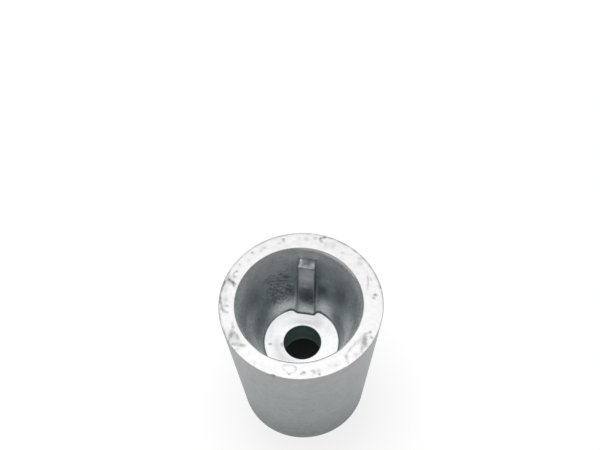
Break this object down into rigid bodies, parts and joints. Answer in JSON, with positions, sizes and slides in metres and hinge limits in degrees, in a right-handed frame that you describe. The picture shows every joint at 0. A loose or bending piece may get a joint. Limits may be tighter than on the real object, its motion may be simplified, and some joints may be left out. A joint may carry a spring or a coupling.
{
  "type": "sacrificial anode",
  "caption": "Hollow tapered zinc anode for a shaft end, with a conical cavity, a key rib on its wall and a stepped bolt hole.",
  "frame": {"origin": "centre of the small end's face, on the part's axis", "axes": "+Z along the part's axis, up to the rim and the cavity's mouth; +Y towards the key rib"},
  "size_m": [0.06, 0.06, 0.07],
  "materials": {
    "cast_zinc": "satin as cast zinc"
  },
  "bodies": {
    "root": {"anode_casting": "cast_zinc"}
  },
  "joints": []
}
